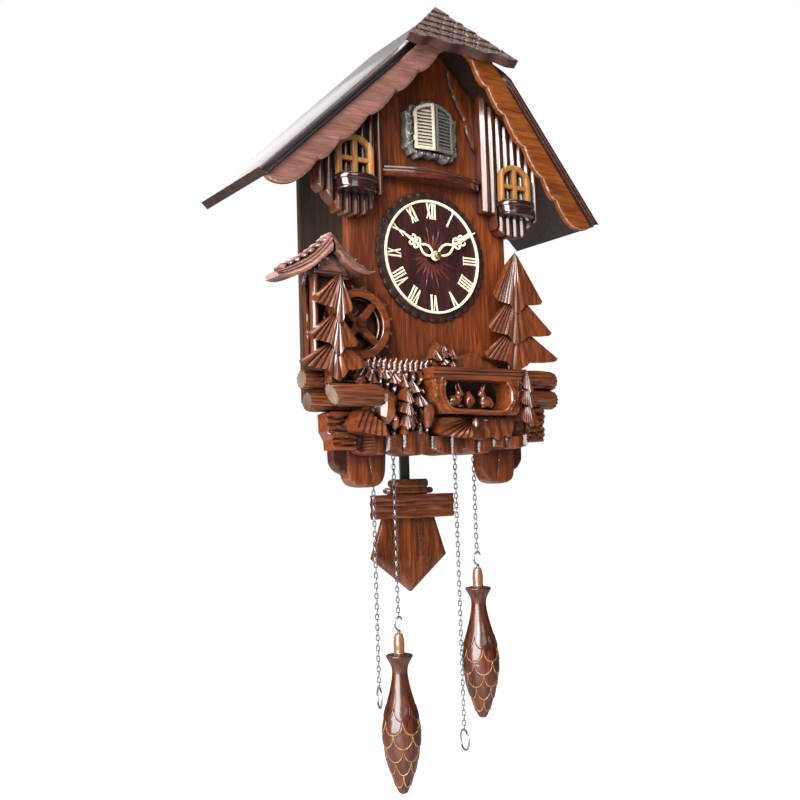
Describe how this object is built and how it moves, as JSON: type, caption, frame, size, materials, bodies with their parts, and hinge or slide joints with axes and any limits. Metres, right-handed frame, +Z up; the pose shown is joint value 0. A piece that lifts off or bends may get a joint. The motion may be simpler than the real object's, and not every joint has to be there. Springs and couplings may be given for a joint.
{
  "type": "cuckoo clock",
  "caption": "Wall-hung chalet cuckoo clock with a carved water mill front, shuttered cuckoo door, pendulum, and chains with turned weights.",
  "frame": {"origin": "on the flat back of the case, on the centre line, 90 mm above the hand arbor and just under the keyhole plate", "axes": "+Z up, +Y out of the back towards the wall, so the dial faces -Y, and +X to the right as seen from the front"},
  "size_m": [0.354, 0.148, 0.6705],
  "materials": {
    "varnished_wood": "gloss varnish, red-brown",
    "dark_wood": "gloss varnish, dark brown",
    "roof_wood": "satin dark brown",
    "case_wood": "satin black-brown",
    "light_wood": "satin golden",
    "plywood": "bare",
    "dial_wood": "satin burgundy brown",
    "cream": "ivory",
    "pewter": "aged pewter",
    "steel": "bright",
    "brass": "bright",
    "black_plastic": "black"
  },
  "bodies": {
    "case": {"front_board": "varnished_wood", "left_side": "case_wood", "right_side": "case_wood", "floor_board": "plywood", "back_panel": "plywood", "wall_hanger": "steel", "left_roof": "roof_wood", "right_roof": "roof_wood", "roof_cap": "roof_wood", "left_fascia": "varnished_wood", "right_fascia": "varnished_wood", "left_rib_panel": "dark_wood", "right_rib_panel": "dark_wood", "left_window": "light_wood", "right_window": "light_wood", "left_flower_box": "dark_wood", "right_flower_box": "dark_wood", "balcony": "varnished_wood", "dial_plate": "dial_wood", "chapter_ring": "cream", "shutter_plaque": "pewter", "mill_roof": "varnished_wood", "mill_post": "varnished_wood", "mill_axle": "steel", "scene_backing": "varnished_wood", "left_tree": "varnished_wood", "right_tree": "varnished_wood", "centre_tree": "varnished_wood", "small_right_tree": "varnished_wood", "left_logs": "varnished_wood", "right_logs": "varnished_wood", "base_carving": "varnished_wood", "front_log": "varnished_wood", "hollow_log": "varnished_wood", "rabbit_left": "varnished_wood", "rabbit_right": "varnished_wood", "left_leg": "varnished_wood", "right_leg": "varnished_wood", "movement": "black_plastic"},
    "minute_hand": {"minute_hand": "cream", "hand_nut": "brass"},
    "hour_hand": {"hour_hand": "cream"},
    "setting_knob": {"setting_knob": "black_plastic"},
    "pendulum": {"pendulum_rod": "black_plastic", "pendulum_bob": "varnished_wood", "bob_board": "varnished_wood"},
    "mill_wheel": {"mill_wheel": "varnished_wood"},
    "cuckoo": {"bird": "light_wood", "bird_carriage": "black_plastic"},
    "left_shutter": {"left_shutter": "cream"},
    "right_shutter": {"right_shutter": "pewter"},
    "rear_door": {"rear_door": "plywood"},
    "left_weight": {"left_weight": "varnished_wood", "left_weight_chain": "steel"},
    "right_weight": {"right_weight": "varnished_wood", "right_weight_chain": "steel"},
    "left_pull": {"left_ring_chain": "steel"},
    "right_pull": {"right_ring_chain": "steel"},
    "left_chain_wheel": {"left_chain_wheel": "brass"},
    "right_chain_wheel": {"right_chain_wheel": "brass"}
  },
  "joints": [
    {"name": "minute_spin", "type": "hinge", "parent": "case", "child": "minute_hand", "pos_m": [0, -0.095, -0.09], "axis": [0, 1, 0], "continuous": true},
    {"name": "hour_spin", "type": "hinge", "parent": "case", "child": "hour_hand", "pos_m": [0, -0.093, -0.09], "axis": [0, 1, 0], "continuous": true},
    {"name": "knob_spin", "type": "hinge", "parent": "case", "child": "setting_knob", "pos_m": [0.02, -0.0346, -0.094], "axis": [0, 1, 0], "continuous": true},
    {"name": "pendulum_swing", "type": "hinge", "parent": "case", "child": "pendulum", "pos_m": [0, -0.036, -0.115], "axis": [0, 1, 0], "range_deg": [-6, 6]},
    {"name": "mill_spin", "type": "hinge", "parent": "case", "child": "mill_wheel", "pos_m": [-0.084, -0.0985, -0.156], "axis": [0, 1, 0], "continuous": true},
    {"name": "cuckoo_slide", "type": "slide", "parent": "case", "child": "cuckoo", "axis": [0, -1, 0], "range_m": [-0.003, 0.036]},
    {"name": "left_shutter_swing", "type": "hinge", "parent": "case", "child": "left_shutter", "pos_m": [-0.0206, -0.0966, 0.022], "axis": [0, 0, 1], "range_deg": [-96.5, 8.2]},
    {"name": "right_shutter_swing", "type": "hinge", "parent": "case", "child": "right_shutter", "pos_m": [0.0206, -0.0966, 0.022], "axis": [0, 0, 1], "range_deg": [-8.2, 96.5]},
    {"name": "rear_door_swing", "type": "hinge", "parent": "case", "child": "rear_door", "pos_m": [-0.0497, 0, -0.09], "axis": [0, 0, 1], "range_deg": [0, 110]},
    {"name": "left_weight_slide", "type": "slide", "parent": "case", "child": "left_weight", "axis": [0, 0, 1], "range_m": [-0.155, 0.06]},
    {"name": "left_pull_slide", "type": "slide", "parent": "case", "child": "left_pull", "axis": [0, 0, 1], "range_m": [-0.061, 0.156]},
    {"name": "left_wheel_spin", "type": "hinge", "parent": "case", "child": "left_chain_wheel", "pos_m": [-0.0433, -0.067, -0.14], "axis": [0, 1, 0], "range_deg": [-330, 850]},
    {"name": "right_weight_slide", "type": "slide", "parent": "case", "child": "right_weight", "axis": [0, 0, 1], "range_m": [-0.19, 0.06]},
    {"name": "right_pull_slide", "type": "slide", "parent": "case", "child": "right_pull", "axis": [0, 0, 1], "range_m": [-0.061, 0.191]},
    {"name": "right_wheel_spin", "type": "hinge", "parent": "case", "child": "right_chain_wheel", "pos_m": [0.0433, -0.067, -0.14], "axis": [0, 1, 0], "range_deg": [-330, 1040]}
  ],
  "couplings": [
    {"joint": "hour_spin", "follows": "minute_spin", "ratio": 0.083333},
    {"joint": "knob_spin", "follows": "minute_spin", "ratio": -1},
    {"joint": "left_shutter_swing", "follows": "cuckoo_slide", "rad_per_m": -46.5},
    {"joint": "right_shutter_swing", "follows": "cuckoo_slide", "rad_per_m": 46.5},
    {"joint": "left_pull_slide", "follows": "left_weight_slide", "ratio": -1},
    {"joint": "left_wheel_spin", "follows": "left_weight_slide", "rad_per_m": -95.238},
    {"joint": "right_pull_slide", "follows": "right_weight_slide", "ratio": -1},
    {"joint": "right_wheel_spin", "follows": "right_weight_slide", "rad_per_m": -95.238}
  ]
}
